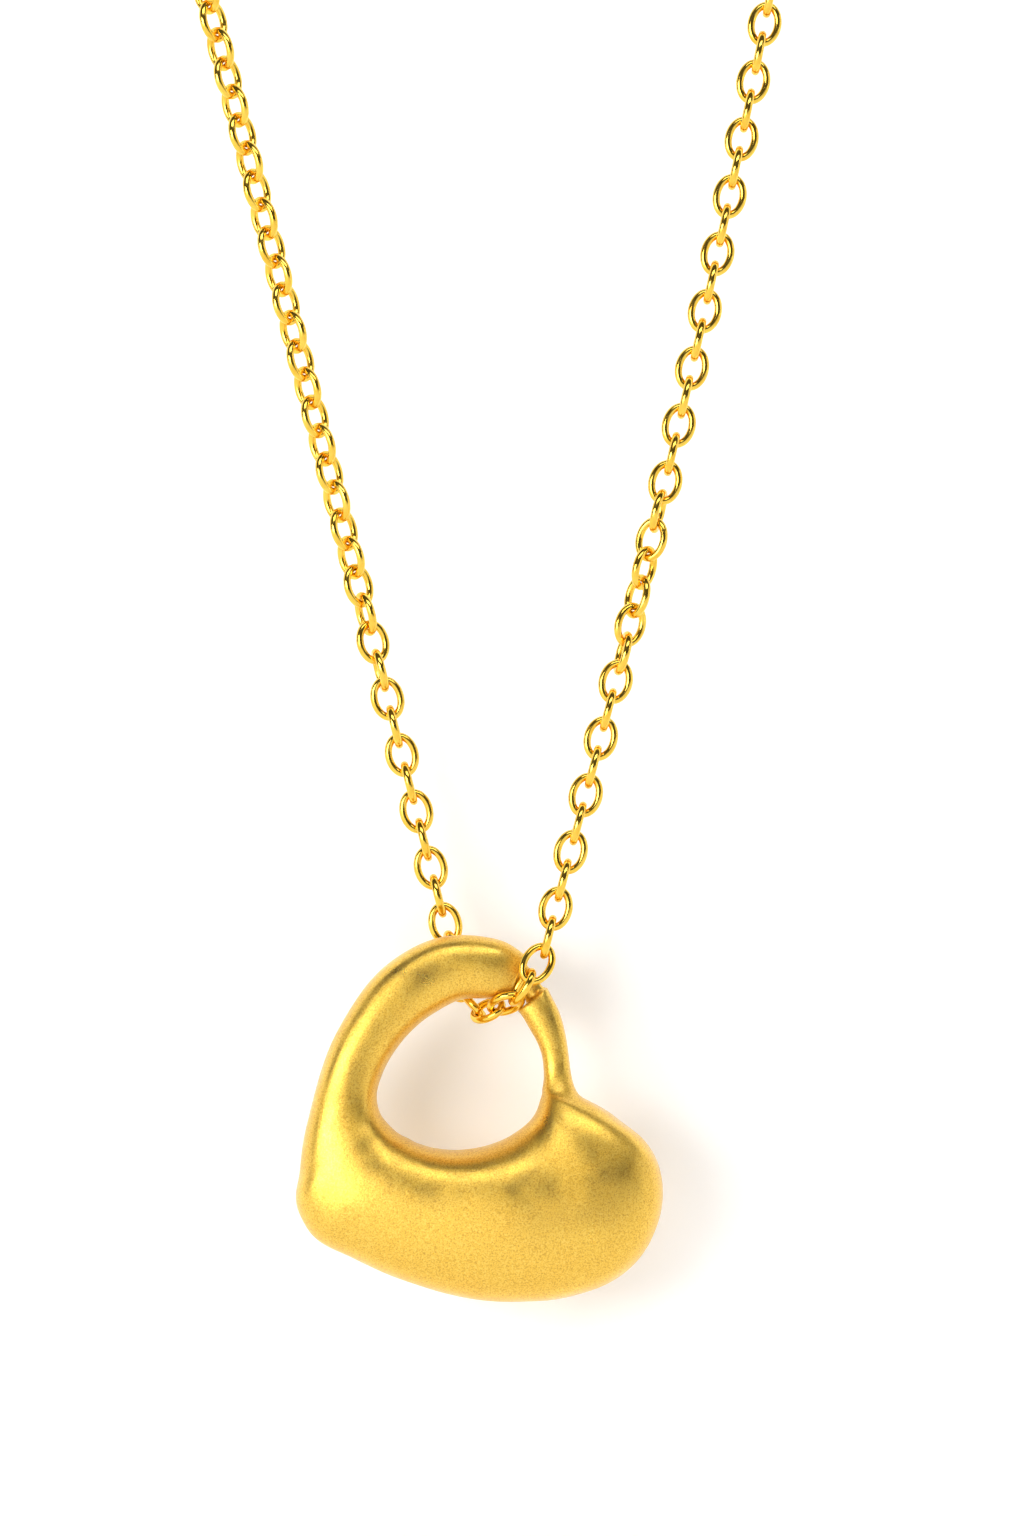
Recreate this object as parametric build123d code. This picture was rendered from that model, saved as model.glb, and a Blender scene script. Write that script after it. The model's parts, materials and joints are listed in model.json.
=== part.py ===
from build123d import *
import os
from math import asin, atan2, ceil, cos, degrees, pi, radians, sin, tan

# Pendant necklace: an open heart on an oval cable chain with a bolt-ring clasp.
# Millimetres, +Z up, the front towards -Y. The necklace hangs as a closed loop in the
# XZ plane. The origin is the centre of the loop's round top, where a neck goes.

# ---- driving dimensions ----
LOOP_R = 35.76            # centreline radius of the round top of the loop
LEFT_TILT = 14.39         # lean of the left strand from the vertical, degrees
RIGHT_TILT_TOP = 11.0     # lean of the right strand near the top
RIGHT_TILT_LOW = 14.9     # and just above the heart
RIGHT_BEND_Z = (-92.0, -134.0)   # the lean grows between these heights

WIRE = 0.47               # round wire of the chain links
LINK_LENGTH = 1.73        # opening of a link, long way
LINK_WIDTH = 1.06         # opening of a link, short way
LINK_END_R = 0.60         # centreline radius of a link's round ends
PLAY = 0.03               # gap between two links that hang on each other
PITCH = LINK_LENGTH - PLAY

HEART_AT = (0.92, -152.79)       # x and z of the middle of the heart
NECK_DEPTH = 0.85         # the core in the groove, front to back
NECK_WIDTH = 1.30         # and across
NECK_SHIFT = 0.28         # how far the core stands out from the ring's midline
CORE_INSET = 0.5          # how far the core runs into the tube and the stem
SECTION_STEPS = 16        # spline steps round a section of the heart
SECTION_COUNT = 40        # even steps of the finished heart along its midline
SQUARE = 0.035            # 0 is an ellipse, more is squarer

RING_R = 2.25             # bolt ring: centreline radius
RING_TUBE_R = 0.55        # outside radius of its tube
RING_BORE_R = 0.42        # inside radius of its tube
GAP_FROM, GAP_TO = 232.0, 276.0  # the mouth, degrees round the ring from +X
BOLT_R = 0.34
BOLT_ARC = (229.0, 306.0)        # the closed bolt
BOLT_TRAVEL = 44.0
SLOT_HALF = 27.0          # half of the knob's slot, degrees
SLOT_WIDTH = 0.40
KNOB_AT = 298.0           # where the thumb knob stands on the closed bolt
KNOB_R = 0.14
KNOB_REACH = 0.95         # from the bolt's centreline to the bead's middle
BEAD_R = 0.26
STOP_ARC = (434.0, 440.0)        # the plug that the spring pushes against
SPRING_R = 0.27
SPRING_WIRE = 0.10
SPRING_TURNS = 11
SPRING_STEPS = 8          # spline steps in one turn
SPRING_SHORT = 1.5        # degrees between the spring's ends and what they push on
EYE_R, EYE_WIRE = 0.72, 0.44     # the bolt ring's soldered eye
EYE_SINK = 0.12           # how far the eye is let into the tube
EYE_CUT = 40.0            # degrees either side of the eye fitted round the tube
JUMP_R, JUMP_WIRE = 1.30, 0.56
JUMP_SPLIT = 0.06         # the jump ring's closed seam
SEAM_TALL = 0.84          # the cut's height, more than the ring's wire
END_R, END_WIRE = 1.50, 0.60

# How many links before the clasp a strand's twist starts to level out, and is square
LEVEL_LINKS, SQUARE_LINKS = 12, 2

# Heights of the hinge lines where the hanging chain is parted into stiff stretches
DRAPE_HEIGHTS = (-12.0, -40.0, -66.0, -90.0, -112.0, -134.0)

# Sections round the heart, from the tube's cut end over the top and down the left side,
# along the bottom, round the right lobe and up the stem. Each is the hole's edge (x, z),
# the outer edge (x, z), the depth front to back, and how much fuller it is towards the
# hole (negative) or the outside (positive). x and z are from the middle of the heart.
HEART_SECTIONS = (
    ((2.79, 4.36), (3.81, 6.98), 2.1, 0.0),
    ((1.51, 4.45), (2.21, 7.91), 2.9, 0.0),
    ((0.02, 4.38), (-0.75, 8.10), 3.2, 0.0),
    ((-1.20, 3.78), (-3.02, 7.27), 3.4, 0.0),
    ((-2.19, 3.12), (-4.91, 5.84), 3.6, 0.0),
    ((-3.31, 2.03), (-6.47, 3.73), 3.8, 0.0),
    ((-4.30, 0.52), (-7.68, 1.40), 3.9, 0.0),
    ((-4.84, -1.10), (-8.52, -1.30), 4.1, 0.0),
    ((-4.66, -2.15), (-9.08, -3.75), 4.4, -0.05),
    ((-4.30, -2.70), (-9.40, -6.00), 4.8, -0.10),
    ((-3.86, -3.14), (-9.34, -8.02), 5.1, -0.12),
    ((-3.20, -3.58), (-8.45, -9.42), 5.4, -0.12),
    ((-2.50, -3.92), (-6.05, -10.72), 5.7, -0.12),
    ((-1.60, -4.20), (-3.20, -11.95), 5.9, -0.12),
    ((-0.20, -4.34), (0.50, -12.97), 6.2, -0.12),
    ((1.30, -4.14), (3.80, -13.16), 6.4, -0.10),
    ((2.59, -3.69), (6.90, -12.74), 6.4, -0.06),
    ((3.55, -3.08), (9.75, -11.36), 6.3, 0.0),
    ((4.15, -2.52), (11.40, -8.95), 6.0, 0.0),
    ((4.46, -1.98), (11.80, -6.30), 5.6, 0.0),
    ((4.65, -1.42), (10.95, -4.05), 4.8, 0.0),
    ((4.76, -0.93), (8.95, -2.35), 3.6, 0.0),
    ((4.82, -0.45), (6.98, -1.15), 2.4, 0.0),
    ((4.84, 0.55), (6.40, 0.35), 1.8, 0.0),
    ((4.62, 1.57), (6.25, 1.86), 1.8, 0.0),
    ((3.95, 2.85), (5.76, 3.72), 1.9, 0.0),
    ((3.31, 3.72), (5.06, 5.14), 1.7, 0.0),
)

# Where the chain's links meet as they pass the groove: behind the tube, under it, and
# up in front of the core. x, y and z in the loop's frame.
GROOVE_JOINTS = (
    (0.25, 2.58, -144.88),
    (0.57, 2.53, -146.55),
    (1.05, 2.26, -148.15),
    (2.00, 1.29, -149.11),
    (3.07, 0.08, -148.99),
    (4.10, -1.11, -148.24),
    (4.97, -1.75, -147.02),
)
RISE_JOINT = (5.84, -1.50, -145.55)    # top of the first link above the groove
GROOVE_LINKS = (
    "rear_link_upper",
    "rear_link_middle",
    "rear_link_lower",
    "under_link",
    "hook_link",
    "front_link",
    "rise_link",
)
GROOVE_ROLLS = (74.0, 180.0, 87.0, 130.0, 46.0, 107.0, 6.0)

# How far each strand is twisted, in degrees, at a link counted up from its foot
LEFT_TWIST = ((0, 0.0), (8, 0.0), (13, 45.0))
RIGHT_TWIST = ((0, 90.0), (9, 90.0), (16, 180.0))

EYE_X = RING_R + RING_TUBE_R + EYE_R + EYE_WIRE / 2 - EYE_SINK
CLASP_NEAR = RING_R - RING_TUBE_R            # inside of the ring, opposite the eye
CLASP_FAR = EYE_X + EYE_R - EYE_WIRE / 2     # far side of the eye's hole
CLASP_SPAN = CLASP_NEAR + CLASP_FAR - PLAY
CLASP_MIDDLE = (CLASP_FAR - CLASP_NEAR) / 2


# ---- small helpers ----
def ramp(value, stops):
    """Piecewise straight line through (at, height) stops, level outside them."""
    if value <= stops[0][0]:
        return stops[0][1]
    for (a, ya), (b, yb) in zip(stops, stops[1:]):
        if value <= b:
            return ya + (yb - ya) * (value - a) / (b - a)
    return stops[-1][1]


def smooth(values, stops, at):
    """Smooth curve through values at their stops, read at one place."""
    last = len(stops) - 1
    k = max(0, min(last - 1, sum(stop <= at for stop in stops) - 1))

    def slope(i):
        low, high = max(i - 1, 0), min(i + 1, last)
        return (values[high] - values[low]) / (stops[high] - stops[low])

    run = stops[k + 1] - stops[k]
    rise = values[k + 1] - values[k]
    m, n = slope(k) * run, slope(k + 1) * run
    t = (at - stops[k]) / run
    return values[k] + t * (m + t * (3 * rise - 2 * m - n + t * (m + n - 2 * rise)))


def ring_point(radius, degrees_round):
    """A point of a ring in the XZ plane."""
    a = radians(degrees_round)
    return Vector(radius * cos(a), 0, radius * sin(a))


def write(name, shapes):
    """Write one node; several shapes become a group of separate solids."""
    shapes = list(shapes)
    body = shapes[0] if len(shapes) == 1 else Compound(children=shapes)
    export_step(body, f"parts/{name}.step")


# ---- chain link ----
def oval_path(length, width, end_r):
    """Closed centreline of four tangent arcs in the XY plane, long way along X."""
    reach = length / 2 - end_r
    half = width / 2
    side_r = (reach**2 + half**2 - end_r**2) / (2 * (half - end_r))
    side_y = half - side_r
    turn = degrees(atan2(-side_y, reach))
    parts = []
    for start, centre, radius, sweep_by in (
        (-turn, (reach, 0), end_r, 2 * turn),
        (turn, (0, side_y), side_r, 180 - 2 * turn),
        (180 - turn, (-reach, 0), end_r, 2 * turn),
        (180 + turn, (0, -side_y), side_r, 180 - 2 * turn),
    ):
        parts.append(Edge.make_circle(radius, Plane((*centre, 0)), start, start + sweep_by))
    return Wire(parts)


def make_link():
    """One chain link, long way along X, flat in the XY plane."""
    path = oval_path(LINK_LENGTH + WIRE, LINK_WIDTH + WIRE, LINK_END_R)
    start = path @ 0
    section = Plane(origin=start, z_dir=path % 0) * Circle(WIRE / 2)
    return Solid.sweep(section.face(), path)


def link_between(a, b, roll):
    """A link hanging between two joints; roll 0 faces it towards -Y."""
    along = (b - a).normalized()
    side = along.cross(Vector(0, -1, 0)).normalized()
    front = side.cross(along)
    t = radians(roll)
    return Plane(origin=(a + b) / 2, x_dir=along, z_dir=front * cos(t) + side * sin(t))


def chain(joints, rolls):
    """Links between successive joints."""
    link = make_link()
    return [
        link_between(a, b, roll) * link
        for a, b, roll in zip(joints, joints[1:], rolls)
    ]


# ---- heart ----
def in_loop(point, y=0.0):
    """A heart point (x, z) in the loop's frame."""
    return Vector(HEART_AT[0] + point[0], y, HEART_AT[1] + point[1])


def ring_section(inner, outer, depth, fuller):
    """Closed outline across the heart's ring, starting at its outer edge."""
    near, far = in_loop(inner), in_loop(outer)
    middle, half = (near + far) / 2, (far - near) / 2
    points, steps = [], []
    for i in range(SECTION_STEPS + 1):
        a = 2 * pi * i / SECTION_STEPS
        across = (cos(a) - SQUARE * cos(3 * a)) / (1 - SQUARE)
        y = depth / 2 * (sin(a) + SQUARE * sin(3 * a)) / (1 - SQUARE)
        points.append(middle + half * across + Vector(0, y * (1 + fuller * across), 0))
        steps.append(i / SECTION_STEPS)
    slope = pi * depth * (1 + 3 * SQUARE) / (1 - SQUARE) * (1 + fuller)
    ends = [Vector(0, slope, 0), Vector(0, slope, 0)]
    return Wire([Edge.make_spline(points, ends, parameters=steps, scale=False)])


def even_sections(count):
    """The heart's sections again, evenly spaced along its midline."""
    rows = [(*inner, *outer, depth, fuller) for inner, outer, depth, fuller in HEART_SECTIONS]
    middles = [Vector((a + c) / 2, (b + d) / 2) for a, b, c, d, *_ in rows]
    stops = [0.0]
    for a, b in zip(middles, middles[1:]):
        stops.append(stops[-1] + (b - a).length)
    even = []
    for i in range(count + 1):
        at = stops[-1] * i / count
        a, b, c, d, depth, fuller = (smooth(column, stops, at) for column in zip(*rows))
        even.append(((a, b), (c, d), depth, fuller))
    return even


def make_heart():
    """The cast heart: one bent, swelling tube whose two ends meet in a groove."""
    rows = even_sections(SECTION_COUNT)
    middles = [(in_loop(inner) + in_loop(outer)) / 2 for inner, outer, *_ in rows]
    spine = Wire([Edge.make_spline(middles)])
    ring = Solid.sweep_multi([ring_section(*row) for row in rows], spine)
    tube_end, stem_top = middles[0], middles[-1]
    along = (stem_top - tube_end).normalized()
    outwards = along.cross(Vector(0, 1, 0)) * NECK_SHIFT
    base = Plane(tube_end + outwards - along * CORE_INSET, x_dir=(0, 1, 0), z_dir=along)
    length = (stem_top - tube_end).length + 2 * CORE_INSET
    core = extrude(base * Ellipse(NECK_DEPTH / 2, NECK_WIDTH / 2), length)
    return ring, core


# ---- the chain's route ----
def left_point(z):
    """The left strand: straight, leaning back to pass behind the heart's tube."""
    t = radians(LEFT_TILT)
    top, low = -LOOP_R * sin(t), GROOVE_JOINTS[0][2]
    x = (-LOOP_R - z * sin(t)) / cos(t)
    return Vector(x, GROOVE_JOINTS[0][1] * (top - z) / (top - low), z)


def right_point(z):
    """The right strand: straight, then bending a little more towards the heart."""
    t = radians(RIGHT_TILT_TOP)
    top, low = -LOOP_R * sin(t), RISE_JOINT[2]
    bend_top, bend_low = RIGHT_BEND_Z
    lean, lean_low = tan(t), tan(radians(RIGHT_TILT_LOW))
    x = (LOOP_R + max(z, bend_top) * sin(t)) / cos(t)
    if z < bend_top:
        down = bend_top - max(z, bend_low)
        x -= lean * down + (lean_low - lean) * down**2 / (2 * (bend_top - bend_low))
    if z < bend_low:
        x -= lean_low * (bend_low - z)
    return Vector(x, RISE_JOINT[1] * (top - z) / (top - low), z)


def strand(point_at, foot, z_top):
    """Joints a pitch apart, from the foot up a strand to the round top."""
    joints = [Vector(*foot)]
    z = foot[2]
    while z < z_top - PITCH:
        rise = point_at(z + PITCH) - point_at(z)
        z += PITCH**2 / rise.length
        joints.append(point_at(z))
    return joints


def over_the_top(joint, angle_end):
    """Joints round the top arc from a strand's last joint to an angle, evenly spaced."""
    start = degrees(atan2(joint.Z, joint.X))
    if start < -90:
        start += 360
    count = ceil(LOOP_R * radians(abs(angle_end - start)) / PITCH)
    step = (angle_end - start) / count
    return [ring_point(LOOP_R, start + step * (i + 1)) for i in range(count)]


def chord_turn(length):
    """Degrees of the top arc that a straight piece of this length spans."""
    return degrees(2 * asin(length / (2 * LOOP_R)))


# ---- clasp ----
def arc_tube(radius, tube_r, start, end, bore_r=0.0):
    """A bent round bar or tube in the XZ plane, between two angles from +X."""
    at = ring_point(radius, start)
    tangent = ring_point(1, start + 90)
    section = Plane(at, x_dir=(0, 1, 0), z_dir=tangent) * Circle(tube_r)
    if bore_r:
        section -= Plane(at, x_dir=(0, 1, 0), z_dir=tangent) * Circle(bore_r)
    return revolve(section, Axis((0, 0, 0), (0, -1, 0)), end - start)


def make_spring():
    """The bolt ring's coil spring, bent to the ring."""
    start = BOLT_ARC[1] + SPRING_SHORT
    end = STOP_ARC[0] - SPRING_SHORT
    steps = SPRING_TURNS * SPRING_STEPS
    points = []
    for i in range(steps + 1):
        round_ring = start + (end - start) * i / steps
        coil = 2 * pi * SPRING_TURNS * i / steps
        out = ring_point(RING_R + SPRING_R * cos(coil), round_ring)
        points.append(out + Vector(0, SPRING_R * sin(coil), 0))
    path = Wire([Edge.make_spline(points)])
    section = Plane(origin=path @ 0, z_dir=path % 0) * Circle(SPRING_WIRE / 2)
    return Solid.sweep(section.face(), path)


def make_bolt_ring():
    """The bolt ring's pieces about its own centre, eye towards +X, mouth at the bottom."""
    shell = arc_tube(RING_R, RING_TUBE_R, GAP_TO - 360, GAP_FROM, RING_BORE_R)
    slot_at = KNOB_AT + BOLT_TRAVEL / 2
    shell -= arc_tube(
        RING_R + RING_TUBE_R, SLOT_WIDTH / 2, slot_at - SLOT_HALF, slot_at + SLOT_HALF
    )
    eye = Pos(EYE_X, 0, 0) * Rot(90, 0, 0) * Torus(EYE_R, EYE_WIRE / 2)
    eye -= arc_tube(RING_R, RING_TUBE_R, -EYE_CUT, EYE_CUT)
    stem = Plane(ring_point(RING_R, KNOB_AT), z_dir=ring_point(1, KNOB_AT)) * Cylinder(
        KNOB_R, KNOB_REACH, align=(Align.CENTER, Align.CENTER, Align.MIN)
    )
    return {
        "clasp_ring_shell": shell,
        "clasp_eye": eye,
        "clasp_stop": arc_tube(RING_R, RING_BORE_R, *STOP_ARC),
        "clasp_spring": make_spring(),
        "clasp_bolt": arc_tube(RING_R, BOLT_R, *BOLT_ARC) + stem,
        "clasp_thumb_bead": Pos(ring_point(RING_R + KNOB_REACH, KNOB_AT)) * Sphere(BEAD_R) - stem,
    }


def place_ring(radius, wire, a, b):
    """A round ring hanging between two joints, flat to the loop's Y axis."""
    return link_between(a, b, 90) * Torus(radius, wire / 2)


# ---- assembly ----
def link_rolls(count, twist):
    """Rolls of a strand's links from the foot up: every second one is turned square."""
    last = 90.0 if count % 2 == 0 else 0.0
    start, end = count - LEVEL_LINKS, count - SQUARE_LINKS
    stops = twist + ((start, twist[-1][1]), (end, last))
    return [90 * (i % 2) + ramp(i, stops) for i in range(count)]


def nearest_joint(joints, z):
    """Index of the joint nearest a height."""
    return min(range(len(joints)), key=lambda i: abs(joints[i].Z - z))


def strand_nodes(side, joints, twist):
    """A strand's links, parted at the hinge heights into named groups."""
    links = chain(joints, link_rolls(len(joints) - 1, twist))
    cuts = [nearest_joint(joints, z) for z in DRAPE_HEIGHTS]
    names = ["top"] + [f"drape_{i + 1}" for i in range(len(cuts) - 1)] + ["cradle"]
    bounds = [len(links)] + cuts + [0]
    groups = {}
    for name, upper, lower in zip(names, bounds, bounds[1:]):
        groups[f"{name}_{side}_chain"] = links[lower:upper]
    return groups


def clasp_joints():
    """Where the last links, the end ring, the bolt ring and the jump ring meet."""
    half = chord_turn(CLASP_SPAN) / 2
    left_outer = 90 + half + chord_turn(2 * END_R - END_WIRE - PLAY)
    right_outer = 90 - half - chord_turn(2 * JUMP_R - JUMP_WIRE - PLAY)
    return left_outer, 90 + half, 90 - half, right_outer


def build_nodes():
    """Every node by name, as a list of solids."""
    nodes = {}
    left_end, left_in, right_in, right_end = clasp_joints()
    left = strand(left_point, GROOVE_JOINTS[0], -LOOP_R * sin(radians(LEFT_TILT)))
    left += over_the_top(left[-1], left_end)
    right = strand(right_point, RISE_JOINT, -LOOP_R * sin(radians(RIGHT_TILT_TOP)))
    right += over_the_top(right[-1], right_end)
    nodes.update(strand_nodes("left", left, LEFT_TWIST))
    nodes.update(strand_nodes("right", right, RIGHT_TWIST))

    groove = [Vector(*j) for j in GROOVE_JOINTS] + [Vector(*RISE_JOINT)]
    for name, link in zip(GROOVE_LINKS, chain(groove, GROOVE_ROLLS)):
        nodes[name] = [link]

    ring, core = make_heart()
    nodes["heart_body"] = (ring + core).solids()

    a, b = ring_point(LOOP_R, left_in), ring_point(LOOP_R, right_in)
    bar = Plane(origin=(a + b) / 2, x_dir=(b - a).normalized(), z_dir=(0, 0, 1))
    for name, piece in make_bolt_ring().items():
        nodes[name] = [bar * Pos(-CLASP_MIDDLE, 0, 0) * piece]
    nodes["end_ring"] = [place_ring(END_R, END_WIRE, ring_point(LOOP_R, left_end), a)]
    jump = place_ring(JUMP_R, JUMP_WIRE, b, ring_point(LOOP_R, right_end))
    seam = Box(JUMP_SPLIT, JUMP_R, SEAM_TALL, align=(Align.CENTER, Align.MIN, Align.CENTER))
    nodes["jump_ring"] = [jump - Pos(jump.center()) * seam]
    return nodes


def main():
    os.makedirs("parts", exist_ok=True)
    for name, solids in build_nodes().items():
        write(name, solids)


main()
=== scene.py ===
"""Looks for an open-heart necklace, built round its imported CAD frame.

Metres, +Z up, the front towards -Y. The chain, the heart and the clasp are modelled anew
where the CAD says they are; the floor, the backdrop, the lights and the camera are a plain
jeweller's light tent.
"""

import json
import logging
import math
from dataclasses import dataclass
from enum import Enum

import bpy
import numpy as np
from mathutils import Matrix, Vector


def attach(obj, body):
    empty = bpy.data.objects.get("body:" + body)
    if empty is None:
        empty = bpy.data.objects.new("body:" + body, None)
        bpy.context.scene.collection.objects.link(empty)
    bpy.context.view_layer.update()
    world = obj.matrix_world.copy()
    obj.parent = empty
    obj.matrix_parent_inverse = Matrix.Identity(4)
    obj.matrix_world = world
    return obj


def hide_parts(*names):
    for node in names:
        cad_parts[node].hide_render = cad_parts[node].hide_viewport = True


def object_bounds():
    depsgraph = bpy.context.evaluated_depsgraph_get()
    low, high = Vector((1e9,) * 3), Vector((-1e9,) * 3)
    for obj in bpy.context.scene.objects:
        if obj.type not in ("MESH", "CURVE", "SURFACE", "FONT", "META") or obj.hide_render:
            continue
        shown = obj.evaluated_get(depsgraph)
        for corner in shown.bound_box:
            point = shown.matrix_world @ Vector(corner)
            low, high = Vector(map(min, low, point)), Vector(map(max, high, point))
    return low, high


MM = 0.001
WELD = 0.0005 * MM  # points of a CAD mesh closer than this are one point

log = logging.getLogger("necklace")
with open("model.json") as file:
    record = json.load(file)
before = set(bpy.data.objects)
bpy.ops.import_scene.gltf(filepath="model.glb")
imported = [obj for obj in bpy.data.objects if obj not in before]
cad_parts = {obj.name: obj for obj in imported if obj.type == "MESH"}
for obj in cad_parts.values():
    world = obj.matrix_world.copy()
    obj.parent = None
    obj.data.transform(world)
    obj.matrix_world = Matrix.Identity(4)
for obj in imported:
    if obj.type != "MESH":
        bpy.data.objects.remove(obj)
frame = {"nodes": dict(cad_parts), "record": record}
cad_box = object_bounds()


class Socket(Enum):
    """Names of the sockets that the finishes set on a Principled shader."""

    COLOUR = "Base Color"
    METAL = "Metallic"
    ROUGHNESS = "Roughness"
    NORMAL = "Normal"


class Level(Enum):
    """How finely a chain link is rounded off."""

    FAR = 1
    NEAR = 2


# ---- small helpers ----
def deselect_all() -> None:
    """Leave object mode with nothing selected."""
    if bpy.context.object and bpy.context.object.mode != "OBJECT":
        bpy.ops.object.mode_set(mode="OBJECT")
    bpy.ops.object.select_all(action="DESELECT")


def activate(obj: bpy.types.Object) -> None:
    """Select one object alone and make it the active one."""
    deselect_all()
    obj.select_set(True)
    bpy.context.view_layer.objects.active = obj


def apply_modifiers(obj: bpy.types.Object) -> None:
    """Apply every modifier of an object, first to last."""
    activate(obj)
    for modifier in list(obj.modifiers):
        bpy.ops.object.modifier_apply(modifier=modifier.name)


def merged_copy(node: str, name: str) -> bpy.types.Object:
    """Copy a CAD node's mesh and merge its loose triangles into closed skins.

    Args:
        node: the CAD node to copy.
        name: the new piece's name.

    Returns:
        The new object, at the origin.
    """
    source = frame["nodes"][node]
    mesh = source.data.copy()
    mesh.transform(source.matrix_world)
    mesh.materials.clear()
    piece = bpy.data.objects.new(name, mesh)
    bpy.context.scene.collection.objects.link(piece)
    activate(piece)
    bpy.ops.object.mode_set(mode="EDIT")
    bpy.ops.mesh.select_all(action="SELECT")
    bpy.ops.mesh.customdata_custom_splitnormals_clear()
    bpy.ops.mesh.remove_doubles(threshold=WELD)
    bpy.ops.object.mode_set(mode="OBJECT")
    return piece


def islands(obj: bpy.types.Object) -> list[np.ndarray]:
    """Group a mesh's vertices into its separate skins.

    Args:
        obj: a mesh object whose doubles are merged.

    Returns:
        One array of vertex numbers for each skin.
    """
    mesh = obj.data
    ends = np.empty(len(mesh.edges) * 2, np.int64)
    mesh.edges.foreach_get("vertices", ends)
    ends = ends.reshape(-1, 2)
    label = np.arange(len(mesh.vertices))
    while True:
        low = np.minimum(label[ends[:, 0]], label[ends[:, 1]])
        fresh = label.copy()
        np.minimum.at(fresh, ends[:, 0], low)
        np.minimum.at(fresh, ends[:, 1], low)
        fresh = fresh[fresh]
        if (fresh == label).all():
            break
        label = fresh
    return [np.flatnonzero(label == k) for k in np.unique(label)]


def points_of(obj: bpy.types.Object) -> np.ndarray:
    """All vertex places of a mesh object."""
    found = np.empty(len(obj.data.vertices) * 3)
    obj.data.vertices.foreach_get("co", found)
    return found.reshape(-1, 3)


def body_of_node(node: str) -> str:
    """The CAD body that a node belongs to."""
    bodies = frame["record"]["behaviour"]["bodies"]
    return next(body for body, nodes in bodies.items() if node in nodes)


def slots_by_node() -> dict[str, str]:
    """The material slot that the CAD record gives each node."""
    return {part["node"]: part["material_slot"] for part in frame["record"]["subparts"]}


def settle(piece: bpy.types.Object, node: str, finish: bpy.types.Material) -> None:
    """Dress a piece, let it stand for its CAD node and ride on that node's body.

    Args:
        piece: the finished object.
        node: the CAD node that it replaces.
        finish: its material.
    """
    piece.data.materials.clear()
    piece.data.materials.append(finish)
    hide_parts(node)
    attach(piece, body_of_node(node))
    log.info("%s: %d faces", piece.name, len(piece.data.polygons))


# ---- finishes ----
class NodeSheet:
    """A material's node tree with short ways to add and wire its nodes."""

    def __init__(self, name: str) -> None:
        """Start a material with only an output and a Principled shader."""
        self.material = bpy.data.materials.new(name)
        self.material.use_nodes = True
        self.tree = self.material.node_tree
        self.shader = self.tree.nodes["Principled BSDF"]

    def add(self, kind: str, **values: object) -> bpy.types.Node:
        """Add a node and set its properties, or its inputs by their names.

        Args:
            kind: the node's type name.
            **values: properties, or inputs written with _ for a space.

        Returns:
            The new node.
        """
        node = self.tree.nodes.new(kind)
        for key, value in values.items():
            if hasattr(node, key):
                setattr(node, key, value)
            else:
                node.inputs[key.replace("_", " ")].default_value = value
        return node

    def wire(self, out: bpy.types.NodeSocket, into: bpy.types.NodeSocket) -> None:
        """Join an output socket to an input socket."""
        self.tree.links.new(out, into)

    def ramp(self, source: bpy.types.NodeSocket, *stops: tuple) -> bpy.types.NodeSocket:
        """Map a value through colour stops.

        Args:
            source: the value's socket.
            *stops: pairs of a place from 0 to 1 and a colour or a grey.

        Returns:
            The colour socket.
        """
        node = self.add("ShaderNodeValToRGB")
        marks = node.color_ramp.elements
        while len(marks) < len(stops):
            marks.new(0.5)
        for mark, (place, tone) in zip(marks, stops):
            mark.position = place
            mark.color = (*tone, 1) if isinstance(tone, tuple) else (tone, tone, tone, 1)
        self.wire(source, node.inputs["Fac"])
        return node.outputs["Color"]

    def bump(self, height: bpy.types.NodeSocket, strength: float, rise: float,
             under: bpy.types.NodeSocket | None = None) -> bpy.types.NodeSocket:
        """Turn a height into a normal.

        Args:
            height: the height's socket, 0 to 1.
            strength: how strongly it shows.
            rise: its real height in metres.
            under: the normal of a coarser bump below it.

        Returns:
            The normal socket.
        """
        node = self.add("ShaderNodeBump", Strength=strength, Distance=rise)
        self.wire(height, node.inputs["Height"])
        if under:
            self.wire(under, node.inputs["Normal"])
        return node.outputs["Normal"]


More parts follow.
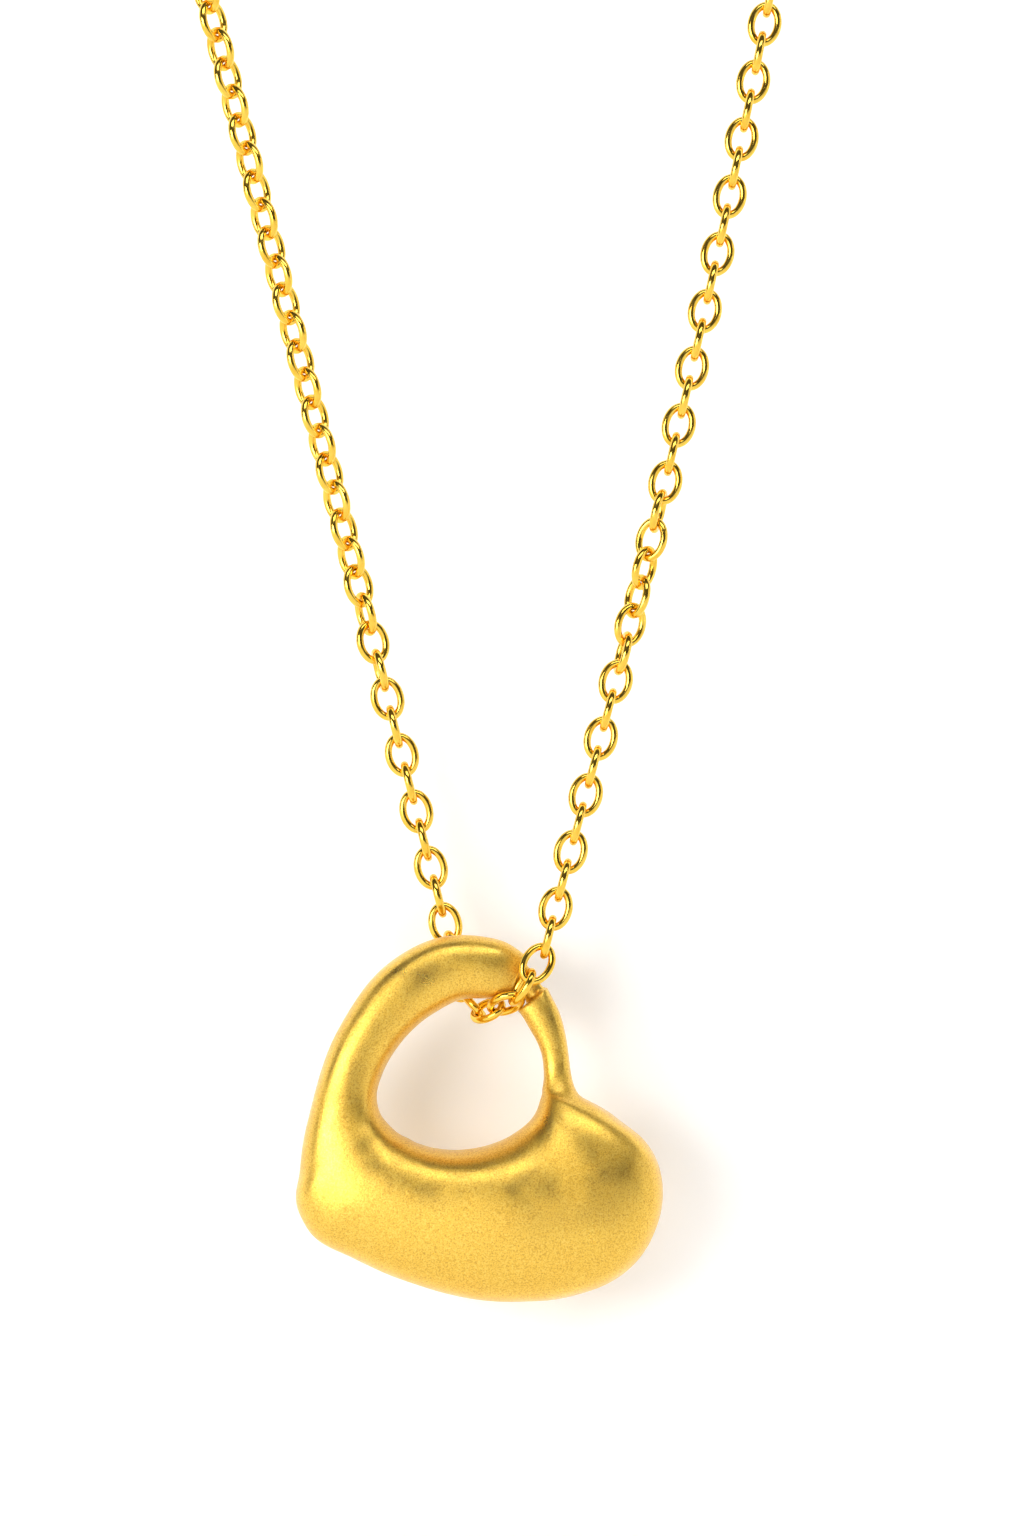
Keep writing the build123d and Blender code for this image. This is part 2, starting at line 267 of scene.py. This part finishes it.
@dataclass(frozen=True)
class PolishedGold:
    """Bright yellow gold with a faint hand-polished waviness and hairlines."""

    colour: tuple[float, float, float] = (0.95, 0.64, 0.10)
    deep: tuple[float, float, float] = (0.90, 0.54, 0.06)
    roughness: tuple[float, float] = (0.08, 0.18)
    wave_scale: float = 1400.0
    wave_rise: float = 0.010 * MM
    hair_scale: float = 9000.0
    hair_rise: float = 0.002 * MM

    def make(self, name: str) -> bpy.types.Material:
        """Build the material.

        Args:
            name: the material's name.

        Returns:
            The new material.
        """
        sheet = NodeSheet(name)
        place = sheet.add("ShaderNodeTexCoord").outputs["Object"]
        wave = sheet.add("ShaderNodeTexNoise", Scale=self.wave_scale, Detail=2.0)
        hair = sheet.add("ShaderNodeTexNoise", Scale=self.hair_scale, Detail=3.0)
        for noise in (wave, hair):
            sheet.wire(place, noise.inputs["Vector"])
        tone = sheet.ramp(wave.outputs["Fac"], (0.3, self.deep), (0.6, self.colour))
        gloss = sheet.ramp(hair.outputs["Fac"], (0.35, self.roughness[0]),
                           (0.7, self.roughness[1]))
        swell = sheet.bump(wave.outputs["Fac"], 0.25, self.wave_rise)
        skin = sheet.bump(hair.outputs["Fac"], 0.12, self.hair_rise, swell)
        shader = sheet.shader
        sheet.wire(tone, shader.inputs[Socket.COLOUR.value])
        sheet.wire(gloss, shader.inputs[Socket.ROUGHNESS.value])
        sheet.wire(skin, shader.inputs[Socket.NORMAL.value])
        shader.inputs[Socket.METAL.value].default_value = 1.0
        return sheet.material


@dataclass(frozen=True)
class SatinGold:
    """Sand-fine satin gold, brushed along the tube, with sparkling grain, painted shade in its
    pits and painted glints on its peaks.
    """

    light: tuple[float, float, float] = (0.92, 0.58, 0.06)
    # painted shade: deeper, darker gold laid in the grain's pits
    pit_shade: tuple[float, float, float] = (0.66, 0.34, 0.03)
    # painted glint: paler gold laid on the grain's peaks
    glint: tuple[float, float, float] = (1.0, 0.74, 0.17)
    roughness: tuple[float, float] = (0.26, 0.50)
    grain_scale: float = 11000.0
    grain_rise: float = 0.020 * MM
    spark_rise: float = 0.010 * MM
    stroke_rise: float = 0.012 * MM
    cloud_scale: float = 420.0
    brush_scale: tuple[float, float, float] = (1500.0, 9000.0, 9000.0)
    lacquer: float = 0.5
    lacquer_roughness: float = 0.38
    lacquer_index: float = 1.7

    def make(self, name: str) -> bpy.types.Material:
        """Build the material.

        Args:
            name: the material's name.

        Returns:
            The new material.
        """
        sheet = NodeSheet(name)
        place = sheet.add("ShaderNodeTexCoord").outputs["Object"]
        along = sheet.add("ShaderNodeAttribute", attribute_name="along").outputs["Vector"]
        stretch = sheet.add("ShaderNodeMapping")
        stretch.inputs["Scale"].default_value = self.brush_scale
        sheet.wire(along, stretch.inputs["Vector"])
        brush = sheet.add("ShaderNodeTexNoise", Scale=1.0, Detail=2.0)
        sheet.wire(stretch.outputs["Vector"], brush.inputs["Vector"])
        grain = sheet.add("ShaderNodeTexNoise", Scale=self.grain_scale, Detail=2.0,
                          Roughness=0.7)
        cloud = sheet.add("ShaderNodeTexNoise", Scale=self.cloud_scale, Detail=3.0)
        spark = sheet.add("ShaderNodeTexVoronoi", Scale=self.grain_scale)
        for texture in (grain, cloud, spark):
            sheet.wire(place, texture.inputs["Vector"])
        # the grain's colour follows the pits bump: painted shade where the grain sinks, painted
        # glints where it rises
        tone = sheet.ramp(grain.outputs["Fac"], (0.34, self.pit_shade), (0.50, self.light),
                          (0.78, self.glint))
        gloss = sheet.ramp(cloud.outputs["Fac"], (0.3, self.roughness[0]),
                           (0.7, self.roughness[1]))
        strokes = sheet.bump(brush.outputs["Fac"], 0.30, self.stroke_rise)
        pits = sheet.bump(grain.outputs["Fac"], 0.55, self.grain_rise, strokes)
        glints = sheet.bump(spark.outputs["Color"], 0.25, self.spark_rise, pits)
        shader = sheet.shader
        sheet.wire(tone, shader.inputs[Socket.COLOUR.value])
        sheet.wire(gloss, shader.inputs[Socket.ROUGHNESS.value])
        sheet.wire(glints, shader.inputs[Socket.NORMAL.value])
        shader.inputs[Socket.METAL.value].default_value = 1.0
        shader.inputs["Coat Weight"].default_value = self.lacquer
        shader.inputs["Coat Roughness"].default_value = self.lacquer_roughness
        shader.inputs["Coat IOR"].default_value = self.lacquer_index
        return sheet.material


@dataclass(frozen=True)
class DrawnSteel:
    """Grey spring wire with faint drawing marks."""

    tones: tuple[float, float] = (0.42, 0.62)
    roughness: tuple[float, float] = (0.22, 0.38)
    scale: float = 6000.0

    def make(self, name: str) -> bpy.types.Material:
        """Build the material.

        Args:
            name: the material's name.

        Returns:
            The new material.
        """
        sheet = NodeSheet(name)
        place = sheet.add("ShaderNodeTexCoord").outputs["Object"]
        marks = sheet.add("ShaderNodeTexNoise", Scale=self.scale, Detail=3.0)
        sheet.wire(place, marks.inputs["Vector"])
        tone = sheet.ramp(marks.outputs["Fac"], (0.3, self.tones[0]), (0.7, self.tones[1]))
        gloss = sheet.ramp(marks.outputs["Fac"], (0.3, self.roughness[0]),
                           (0.7, self.roughness[1]))
        sheet.wire(tone, sheet.shader.inputs[Socket.COLOUR.value])
        sheet.wire(gloss, sheet.shader.inputs[Socket.ROUGHNESS.value])
        sheet.shader.inputs[Socket.METAL.value].default_value = 1.0
        return sheet.material


@dataclass(frozen=True)
class MattPaper:
    """White matt paper, seen from its front only."""

    white: tuple[float, float, float] = (0.93, 0.925, 0.92)
    tooth_scale: float = 2500.0
    tooth_rise: float = 0.01 * MM
    roughness: float = 0.9
    glow: float = 0.24

    def make(self, name: str) -> bpy.types.Material:
        """Build the material.

        Args:
            name: the material's name.

        Returns:
            The new material.
        """
        sheet = NodeSheet(name)
        place = sheet.add("ShaderNodeTexCoord").outputs["Object"]
        tooth = sheet.add("ShaderNodeTexNoise", Scale=self.tooth_scale, Detail=2.0)
        sheet.wire(place, tooth.inputs["Vector"])
        normal = sheet.bump(tooth.outputs["Fac"], 0.1, self.tooth_rise)
        sheet.wire(normal, sheet.shader.inputs[Socket.NORMAL.value])
        sheet.shader.inputs[Socket.COLOUR.value].default_value = (*self.white, 1)
        sheet.shader.inputs[Socket.ROUGHNESS.value].default_value = self.roughness
        sheet.shader.inputs["Emission Color"].default_value = (*self.white, 1)
        sheet.shader.inputs["Emission Strength"].default_value = self.glow
        clear = sheet.add("ShaderNodeBsdfTransparent")
        side = sheet.add("ShaderNodeNewGeometry").outputs["Backfacing"]
        mix = sheet.add("ShaderNodeMixShader")
        sheet.wire(side, mix.inputs["Fac"])
        sheet.wire(sheet.shader.outputs["BSDF"], mix.inputs[1])
        sheet.wire(clear.outputs["BSDF"], mix.inputs[2])
        sheet.wire(mix.outputs["Shader"], sheet.tree.nodes["Material Output"].inputs["Surface"])
        return sheet.material


# ---- chain ----
@dataclass
class ChainLinks:
    """The oval links: one is modelled, then copied to where each CAD link is."""

    half_length: float = 1.10 * MM
    half_width: float = 0.765 * MM
    wire_radius: float = 0.235 * MM
    stations: int = 12
    facets: int = 6
    path_swell: float = 1.047
    wire_swell: float = 1.203

    def model_link(self, level: Level) -> bpy.types.Object:
        """Model one link, long way along X and flat in XY.

        Args:
            level: how finely it is rounded off.

        Returns:
            The link's object.
        """
        deselect_all()
        start = self.half_width * self.path_swell
        bpy.ops.mesh.primitive_torus_add(
            major_segments=self.stations, minor_segments=self.facets,
            major_radius=start, minor_radius=self.wire_radius * self.wire_swell,
        )
        link = bpy.context.object
        link.name = f"link_pattern_{level.name.lower()}"
        places = points_of(link)
        turn = np.arctan2(places[:, 1], places[:, 0])
        step = 2 * math.pi / self.stations
        station = np.round(turn / step).astype(int) % self.stations
        bpy.ops.object.mode_set(mode="EDIT")
        bpy.ops.mesh.select_mode(type="VERT")
        for k in range(self.stations):
            bpy.ops.mesh.select_all(action="DESELECT")
            bpy.ops.object.mode_set(mode="OBJECT")
            for i in np.flatnonzero(station == k):
                link.data.vertices[i].select = True
            bpy.ops.object.mode_set(mode="EDIT")
            reach = (self.half_length - self.half_width) * self.path_swell
            bpy.ops.transform.translate(value=(reach * math.cos(k * step), 0, 0))
        bpy.ops.object.mode_set(mode="OBJECT")
        rounder = link.modifiers.new("round", "SUBSURF")
        rounder.levels = rounder.render_levels = level.value
        apply_modifiers(link)
        bpy.ops.object.shade_smooth()
        return link

    def place_links(self, node: str, pattern: bpy.types.Object) -> bpy.types.Object:
        """Copy the pattern link to every link of a CAD node.

        Args:
            node: the CAD node that groups the links.
            pattern: the modelled link.

        Returns:
            One object that holds all the copies.
        """
        guide = merged_copy(node, f"{node}_guide")
        places = points_of(guide)
        copies = []
        for skin in islands(guide):
            cloud = places[skin]
            middle = self.middle_of(cloud)
            spread = (cloud - middle).T @ (cloud - middle)
            axes = np.linalg.eigh(spread)[1][:, ::-1]
            if np.linalg.det(axes) < 0:
                axes[:, 2] *= -1
            stand = Matrix(np.vstack([np.column_stack([axes, middle]), [0, 0, 0, 1]]).tolist())
            copy = pattern.copy()
            copy.data = pattern.data.copy()
            copy.data.transform(stand)
            bpy.context.scene.collection.objects.link(copy)
            copies.append(copy)
        bpy.data.objects.remove(guide)
        deselect_all()
        for copy in copies:
            copy.select_set(True)
        bpy.context.view_layer.objects.active = copies[0]
        if len(copies) > 1:
            bpy.ops.object.join()
        strand = bpy.context.view_layer.objects.active
        strand.name = f"{node}_links"
        return strand

    @staticmethod
    def middle_of(cloud: np.ndarray) -> np.ndarray:
        """The middle of a link from the places of its skin's points."""
        centre = cloud.mean(0)
        axes = np.linalg.eigh((cloud - centre).T @ (cloud - centre))[1]
        local = (cloud - centre) @ axes
        return centre + axes @ ((local.min(0) + local.max(0)) / 2)

    def build(self, gold: bpy.types.Material) -> None:
        """Model every stretch of the chain and hang it on its body.

        Args:
            gold: the chain's finish.
        """
        patterns = {level: self.model_link(level) for level in Level}
        for node in [n for n, slot in slots_by_node().items() if slot == "chain_gold"]:
            level = Level.FAR if node.startswith("top_") else Level.NEAR
            settle(self.place_links(node, patterns[level]), node, gold)
        for pattern in patterns.values():
            bpy.data.objects.remove(pattern)


# ---- heart ----
@dataclass
class OpenHeart:
    """The cast heart: its skin remade as an even mesh, smoothed as by a polisher."""

    node: str = "heart_body"
    cell: float = 0.10 * MM
    smoothing: int = 6

    def build(self, gold: bpy.types.Material) -> bpy.types.Object:
        """Model the heart and hang it on its body.

        Args:
            gold: the heart's finish.

        Returns:
            The heart's object.
        """
        heart = merged_copy(self.node, "open_heart")
        weave = heart.modifiers.new("even", "REMESH")
        weave.mode = "VOXEL"
        weave.voxel_size = self.cell
        soften = heart.modifiers.new("soften", "SMOOTH")
        soften.factor = 0.5
        soften.iterations = self.smoothing
        apply_modifiers(heart)
        bpy.ops.object.shade_smooth()
        self.mark_brushing(heart)
        settle(heart, self.node, gold)
        return heart

    def mark_brushing(self, heart: bpy.types.Object) -> None:
        """Store how far round the ring, out from it and deep each point is.

        Args:
            heart: the heart's object.
        """
        places = points_of(heart)
        eye = next(m for m in frame["record"]["mounts"] if m["name"] == "heart_eye")
        out = places - np.array(eye["pos_m"])
        radius = np.hypot(out[:, 0], out[:, 2])
        around = np.arctan2(out[:, 2], out[:, 0]) * radius.mean()
        field = heart.data.attributes.new("along", "FLOAT_VECTOR", "POINT")
        values = np.column_stack([around, radius, places[:, 1]])
        field.data.foreach_set("vector", values.astype(np.float32).ravel())


# ---- clasp ----
@dataclass
class RingClasp:
    """The bolt ring with its end ring and jump ring, edges eased and skins smooth."""

    ease: float = 0.035 * MM
    edge_angle: float = math.radians(35)
    smooth_angle: float = math.radians(50)

    def dress(self, node: str, finish: bpy.types.Material, eased: bool) -> None:
        """Remake one piece of the clasp from its CAD node.

        Args:
            node: the CAD node.
            finish: its material.
            eased: whether its sharp edges are rounded over.
        """
        piece = merged_copy(node, f"{node}_polished")
        if eased:
            rounder = piece.modifiers.new("ease", "BEVEL")
            rounder.width = self.ease
            rounder.segments = 3
            rounder.limit_method = "ANGLE"
            rounder.angle_limit = self.edge_angle
            apply_modifiers(piece)
        activate(piece)
        bpy.ops.object.shade_smooth_by_angle(angle=self.smooth_angle)
        settle(piece, node, finish)

    def build(self, gold: bpy.types.Material, steel: bpy.types.Material) -> None:
        """Dress every piece of the clasp.

        Args:
            gold: the finish of the rings, the bolt and the bead.
            steel: the finish of the spring.
        """
        for node in ("clasp_ring_shell", "clasp_bolt", "jump_ring"):
            self.dress(node, gold, eased=True)
        for node in ("clasp_eye", "clasp_stop", "clasp_thumb_bead", "end_ring"):
            self.dress(node, gold, eased=False)
        self.dress("clasp_spring", steel, eased=False)


# ---- light tent ----
@dataclass(frozen=True)
class SoftBox:
    """A large soft light that faces the heart; its place is from the camera's aim."""

    name: str
    place: tuple[float, float, float]
    size: tuple[float, float]
    watts: float

    def hang(self, aim: Vector) -> None:
        """Hang the light.

        Args:
            aim: the point that it faces.
        """
        data = bpy.data.lights.new(self.name, "AREA")
        data.shape = "RECTANGLE"
        data.size, data.size_y = self.size
        data.energy = self.watts
        light = bpy.data.objects.new(self.name, data)
        light.location = aim + Vector(self.place)
        light.rotation_euler = (aim - light.location).to_track_quat("-Z", "Y").to_euler()
        bpy.context.scene.collection.objects.link(light)


SOFT_BOXES = (
    SoftBox("key", (-0.28, -0.36, 0.02), (0.30, 0.20), 1.25),
    SoftBox("top", (0.05, -0.30, 0.29), (0.40, 0.13), 0.58),
    SoftBox("low", (-0.05, -0.26, -0.36), (0.34, 0.14), 0.12),
    SoftBox("side", (0.40, -0.14, 0.02), (0.12, 0.34), 0.22),
)


@dataclass
class LightTent:
    """A white sweep behind and below the necklace, large soft lights and the camera."""

    wall_gap: float = 2.5 * MM
    floor_drop: float = 15 * MM
    half_width: float = 0.75
    sweep_radius: float = 12 * MM
    depth: float = 0.9

    sky_front: tuple[float, float, float] = (0.20, 0.195, 0.19)
    sky_back: tuple[float, float, float] = (0.90, 0.90, 0.90)
    sky_turn: float = 0.55
    sky_strength: float = 0.44

    aim: tuple[float, float, float] = (3.94 * MM, 0.0, -134.94 * MM)
    distance: float = 0.45
    frame_height: float = 59.5 * 1.5 * MM
    sensor: float = 36.0

    def build(self) -> None:
        """Build the sweep, the lights and the camera."""
        self.build_sweep()
        self.build_lights()
        self.build_camera()

    def build_sweep(self) -> None:
        """The paper: a wall behind the necklace that runs out into a floor."""
        low, high = Vector(cad_box[0]), Vector(cad_box[1])
        wall_y = high.y + self.wall_gap
        floor_z = low.z - self.floor_drop
        deselect_all()
        bpy.ops.mesh.primitive_plane_add(
            size=2 * self.half_width, location=(0, wall_y, floor_z + self.half_width),
            rotation=(math.pi / 2, 0, 0),
        )
        paper = bpy.context.object
        paper.name = "paper_sweep"
        bpy.ops.object.transform_apply(location=True, rotation=True, scale=True)
        bpy.ops.object.mode_set(mode="EDIT")
        bpy.ops.mesh.select_all(action="DESELECT")
        bpy.ops.mesh.select_mode(type="EDGE")
        bpy.ops.object.mode_set(mode="OBJECT")
        for edge in paper.data.edges:
            ends = [paper.data.vertices[i].co.z for i in edge.vertices]
            edge.select = max(ends) < floor_z + self.sweep_radius
        bpy.ops.object.mode_set(mode="EDIT")
        bpy.ops.mesh.extrude_region_move(TRANSFORM_OT_translate={"value": (0, -self.depth, 0)})
        bpy.ops.object.mode_set(mode="OBJECT")
        bend = paper.modifiers.new("sweep", "BEVEL")
        bend.width = self.sweep_radius
        bend.segments = 12
        bend.limit_method = "ANGLE"
        apply_modifiers(paper)
        bpy.ops.object.shade_smooth()
        paper.data.materials.append(MattPaper().make("matt_paper"))

    def build_lights(self) -> None:
        """The sky, darker towards the camera, and the soft boxes."""
        world = bpy.data.worlds.new("tent")
        world.use_nodes = True
        bpy.context.scene.world = world
        tree = world.node_tree
        back = tree.nodes["Background"]
        where = tree.nodes.new("ShaderNodeTexCoord")
        parts = tree.nodes.new("ShaderNodeSeparateXYZ")
        fade = tree.nodes.new("ShaderNodeValToRGB")
        tree.links.new(where.outputs["Generated"], parts.inputs[0])
        tree.links.new(parts.outputs["Y"], fade.inputs["Fac"])
        marks = fade.color_ramp.elements
        marks[0].position, marks[0].color = 0.0, (*self.sky_front, 1)
        marks[1].position, marks[1].color = self.sky_turn, (*self.sky_back, 1)
        tree.links.new(fade.outputs["Color"], back.inputs["Color"])
        back.inputs["Strength"].default_value = self.sky_strength
        for box in SOFT_BOXES:
            box.hang(Vector(self.aim))
        bpy.context.scene.view_settings.view_transform = "Standard"

    def build_camera(self) -> None:
        """The camera: a long lens straight on to the heart."""
        data = bpy.data.cameras.new("long_lens")
        data.sensor_width = self.sensor
        data.lens = self.sensor * self.distance / self.frame_height
        data.clip_start, data.clip_end = 0.01, 20.0
        camera = bpy.data.objects.new("long_lens", data)
        camera.location = Vector(self.aim) - Vector((0, self.distance, 0))
        camera.rotation_euler = (math.pi / 2, 0, 0)
        bpy.context.scene.collection.objects.link(camera)
        bpy.context.scene.camera = camera


def main() -> None:
    """Build the necklace from the heart up, then the tent round it."""
    polished = PolishedGold().make("polished_gold")
    OpenHeart().build(SatinGold().make("satin_gold"))
    ChainLinks().build(polished)
    RingClasp().build(polished, DrawnSteel().make("drawn_steel"))
    LightTent().build()


if __name__ == "__main__":
    logging.basicConfig(level=logging.INFO, format="%(message)s")
    main()
